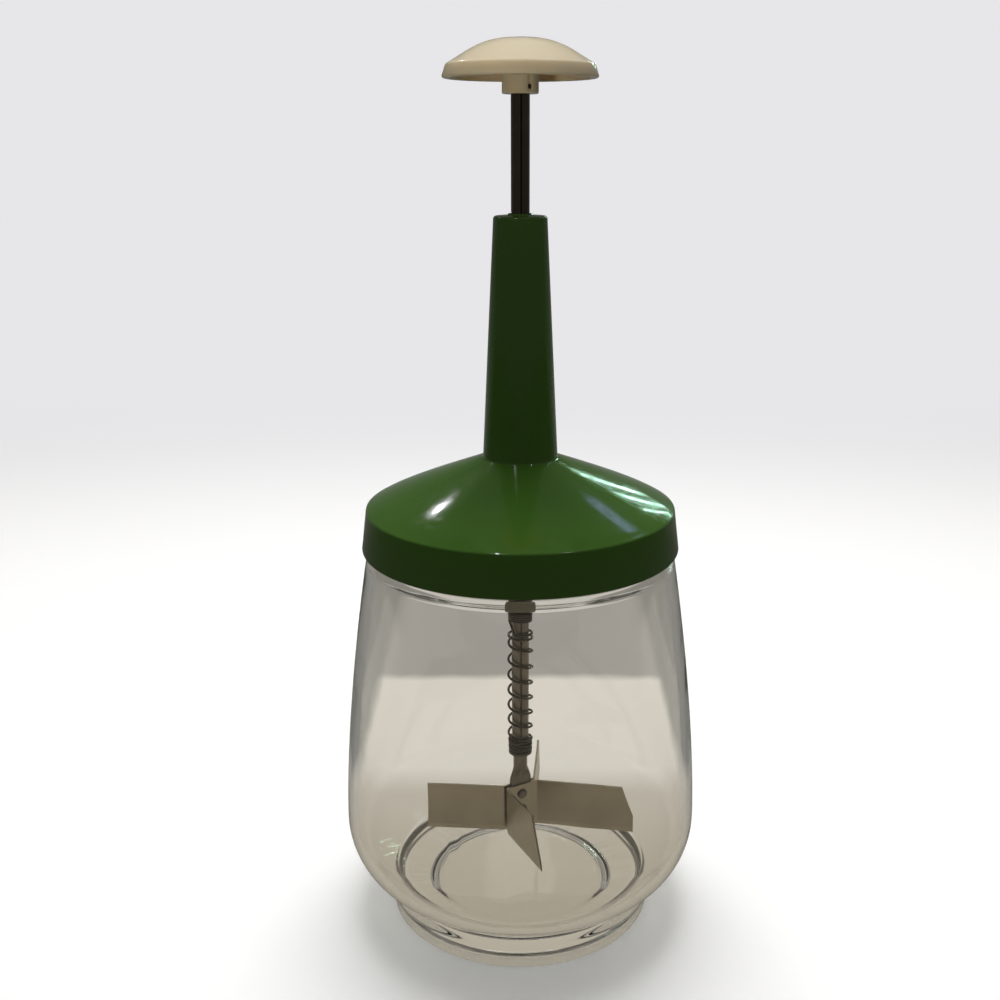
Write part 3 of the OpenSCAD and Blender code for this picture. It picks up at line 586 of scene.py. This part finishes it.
def paper_in_sight(made, back):
    """White in front, where it keeps its shadows, and light grey behind."""
    floor = add(made, "ShaderNodeAddShader", {
        0: add(made, "ShaderNodeBsdfDiffuse", {"Color": linear("#f2f2f2")}).outputs[0],
        1: add(made, "ShaderNodeEmission", {"Strength": 0.17}).outputs[0]})
    wall = add(made, "ShaderNodeEmission", {"Color": linear("#e7e6e9")})
    return add(made, "ShaderNodeMixShader", {0: back, 1: floor.outputs[0], 2: wall.outputs[0]})


def paper_through_glass(made, at):
    """Painted light and shade that the glass shows: for rays through the glass the paper glows, in
    a bright painted patch behind the jar, with greyer painted shade beyond it and on both sides."""
    far = add(made, "ShaderNodeMapRange", {
        "Value": at.outputs["Y"], "From Min": -0.1, "From Max": 0.4}).outputs[0]
    # Painted light and shade: bands of glow by depth, bright behind the jar and greyer beyond it,
    # stand in for the light that comes through the glass.
    strip = add(made, "ShaderNodeValToRGB", {"Fac": far})
    stops = strip.color_ramp.elements
    stops[0].position, stops[0].color = 0.12, linear("#bfb9aa")
    stops[1].position, stops[1].color = 1.0, linear("#e6e5e2")
    for position, colour in ((0.24, "#cbc5b7"), (0.32, "#d8d4cb"), (0.36, "#f8f6f0"),
                             (0.52, "#f8f6f0"), (0.535, "#b4b2af"), (0.9, "#b4b2af")):
        stops.new(position).color = linear(colour)
    # Painted shade: off the axis and beyond the jar the glow turns grey, so that the glass's sides
    # look darker.
    off_axis = add(made, "ShaderNodeMath", {0: at.outputs["X"]}, operation="ABSOLUTE").outputs[0]
    aside = add(made, "ShaderNodeMapRange", {
        "Value": off_axis, "From Min": 0.080, "From Max": 0.092}).outputs[0]
    beyond = add(made, "ShaderNodeMapRange", {
        "Value": at.outputs["Y"], "From Min": 0.055, "From Max": 0.075}).outputs[0]
    shade = add(made, "ShaderNodeMath", {0: aside, 1: beyond}, operation="MULTIPLY").outputs[0]
    painted_glow = add(made, "ShaderNodeMix", {"Factor": shade, 6: strip.outputs["Color"],
                                        7: linear("#9e9e9a")}, data_type="RGBA")
    return add(made, "ShaderNodeEmission", {"Color": painted_glow.outputs[2]})


def paper_mirrored(made, back):
    """A dim room, paler behind, for light that is mirrored or bounced."""
    dim = add(made, "ShaderNodeMix", {"Factor": back, 6: linear("#55534e"), 7: linear("#a8aaa8")},
              data_type="RGBA")
    return add(made, "ShaderNodeBsdfDiffuse", {"Color": dim.outputs[2]})


def studio_paper():
    """Matt paper, which shows the camera, the glass and the glossy faces each their own room; what
    the glass shows is a painted glow of light and shade.
    """
    made, output = material("studio_paper")
    place = add(made, "ShaderNodeTexCoord").outputs["Object"]
    at = add(made, "ShaderNodeSeparateXYZ", {"Vector": place})
    back = add(made, "ShaderNodeMapRange", {
        "Value": at.outputs["Y"], "From Min": 0.27, "From Max": 0.83},
        interpolation_type="SMOOTHSTEP").outputs[0]
    in_sight = paper_in_sight(made, back)
    # Rays through the glass see a painted glow of light and shade, not the lit paper.
    through = paper_through_glass(made, at)
    mirrored = paper_mirrored(made, back)
    path = add(made, "ShaderNodeLightPath")
    unseen = add(made, "ShaderNodeMixShader", {0: path.outputs["Is Transmission Ray"],
                                               1: mirrored.outputs[0], 2: through.outputs[0]})
    mix = add(made, "ShaderNodeMixShader", {0: path.outputs["Is Camera Ray"],
                                            1: unseen.outputs[0], 2: in_sight.outputs[0]})
    made.node_tree.links.new(mix.outputs[0], output.inputs["Surface"])
    return made


def backdrop():
    """A pale sheet: floor in front, curving up to a light grey wall far behind."""
    half_width, front, bend, height = 4000, -3000, 900, 4000
    line = [(front, 0), (bend, 0)] + arc((bend, bend), bend, -90, 0, 16) + [(2 * bend, height)]
    mesh = bmesh.new()
    verts = [mesh.verts.new((-half_width * MM, y * MM, z * MM)) for y, z in line]
    edges = [mesh.edges.new(pair) for pair in zip(verts, verts[1:])]
    wide = bmesh.ops.extrude_edge_only(mesh, edges=edges)["geom"]
    bmesh.ops.translate(mesh, vec=(2 * half_width * MM, 0, 0),
                        verts=[v for v in wide if isinstance(v, bmesh.types.BMVert)])
    sheet = finish_mesh(mesh, "backdrop", 60)
    paint(sheet, studio_paper())


def hang(data, place, target, colour, lights=True, mirrored=True):
    """Puts a lamp at a place, in metres, and aims it at a target.

    Lights tells whether it falls on things, and mirrored whether glossy faces show it.
    """
    data.color = linear(colour)[:3]
    light = bpy.data.objects.new(data.name, data)
    light.location = place
    light.rotation_euler = (Vector(target) - Vector(place)).to_track_quat("-Z", "Y").to_euler()
    light.visible_diffuse = lights
    light.visible_glossy = mirrored
    bpy.context.scene.collection.objects.link(light)


def lamp(name, place, size, power, colour="#ffffff", lights=True, mirrored=True):
    """A rectangular lamp aimed at the lid."""
    data = bpy.data.lights.new(name, "AREA")
    data.shape = "RECTANGLE"
    data.size, data.size_y = size
    data.energy = power
    hang(data, place, (0, 0, 0.13), colour, lights, mirrored)


def knob_light(place, power):
    """A narrow spot on the knob alone, low in front, so that its rim and underside show."""
    data = bpy.data.lights.new("knob_light", "SPOT")
    data.energy = power
    data.spot_size, data.spot_blend = math.radians(6.5), 0.6
    data.shadow_soft_size = 0.03
    hang(data, place, (0, 0, 0.262), "#fff4dc", mirrored=False)


def room_light():
    """The room beyond the paper: a soft fill, pale to the camera and dim in mirrored faces."""
    world = bpy.data.worlds.new("room")
    world.use_nodes = True
    path = add(world, "ShaderNodeLightPath")
    fill = add(world, "ShaderNodeMapRange", {
        "Value": path.outputs["Is Glossy Ray"], "To Min": 0.36, "To Max": 0.08})
    strength = add(world, "ShaderNodeMapRange", {
        "Value": path.outputs["Is Camera Ray"], "To Min": fill.outputs[0], "To Max": 0.9})
    background = world.node_tree.nodes["Background"]
    background.inputs["Color"].default_value = linear("#f0ede6")
    world.node_tree.links.new(strength.outputs[0], background.inputs["Strength"])
    bpy.context.scene.world = world


def studio():
    """A dim room lit from above, and small lamps and a window that only glossy faces show."""
    room_light()
    lamp("overhead", (0.0, 0.22, 1.1), (0.5, 0.4), 10, mirrored=False)
    lamp("ceiling_lamp", (-0.37, 0.64, 0.81), (0.012, 0.018), 0.28, lights=False)
    lamp("front_lamp_left", (-0.20, -0.42, 1.0), (0.02, 0.02), 0.8, lights=False)
    lamp("front_lamp_right", (0.45, -0.42, 1.0), (0.02, 0.02), 0.5, lights=False)
    lamp("window", (0.42, 0.60, 0.80), (0.19, 0.08), 0.11, "#b4c6ff", lights=False)
    for slat, x in enumerate((0.62, 0.75, 0.89)):
        lamp(f"blind_slat_{slat}", (x, 1.7, 0.62), (0.012, 0.8), 1.2, "#c8ffe6", lights=False)
    knob_light((-0.16, -0.5, 0.12), 5)


def camera():
    """A 43 mm lens 0.34 m in front of the axis, looking 16.5 degrees down."""
    data = bpy.data.cameras.new("camera")
    data.lens, data.sensor_width = 43.2, 36
    data.shift_x = -0.0203
    view = bpy.data.objects.new("camera", data)
    view.location = (0, -0.342, 0.2337)
    view.rotation_euler = (math.radians(90 - 16.5), 0, 0)
    bpy.context.scene.collection.objects.link(view)
    bpy.context.scene.camera = view


# ---- Assembly ----

camera()
studio()
backdrop()

clear_glass = pressed_glass()
# Injection-moulded polystyrene: a hard, even gloss that mirrors lamps as sharp spots.
green = moulded("green_polystyrene", "#3e6120", "#385b1e", 0.07)
# The same, yellowed with age: glossy too, and slightly see-through, so its shades are soft.
ivory = moulded("aged_ivory_polystyrene", "#d6cbb4", "#cabda3", 0.1, milky=0.7)
# Moulded polythene, plain and filled grey: a waxy surface with only a dull sheen.
white = moulded("natural_polythene", "#cfcdc2", "#bfbcae", 0.4)
grey = moulded("grey_polythene", "#c4c0b2", "#b3afa0", 0.4)
# Strip rolled to a tube: dull grey with a few stains, its lines along the tube.
tube_steel = steel("rolled_mild_steel", "#8d867c", "#69625a", 0.32, grain=(1, 1, 0.05))
# Hard drawn wire: dark, with a satin shine.
wire_steel = steel("drawn_spring_steel", "#6c665c", "#464139", 0.35)
# Strip ground flat: the palest metal here, with fine lines along the blade.
blade_steel = steel("ground_stainless_steel", "#c3baa9", "#a89d8b", 0.38, grain=(0.1, 0.1, 1))

jar = glass_jar()
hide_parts("jar")
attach(jar, "jar")
paint(jar, clear_glass)

lid = lid_moulding()
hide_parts("lid")
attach(lid, "lid")
paint(lid, green)

knob = mushroom_knob()
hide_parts("knob")
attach(knob, "plunger")
paint(knob, ivory)

shaft = rolled_shaft()
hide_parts("shaft")
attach(shaft, "plunger")
paint(shaft, tube_steel)

spring = wire_along(spring_path(), WIRE, "return_spring")
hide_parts("spring")
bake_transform(spring)
paint(spring, wire_steel)

for node, finish in {"lid_liner": white, "guide_plug": grey, "guide_ferrule": tube_steel,
                     "spring_collar": wire_steel, "knob_pin": wire_steel,
                     "blade_left_rear": blade_steel, "blade_front_right": blade_steel,
                     "blade_rivets": tube_steel}.items():
    paint(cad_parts[node], finish)

bpy.context.scene.view_settings.view_transform = "Standard"
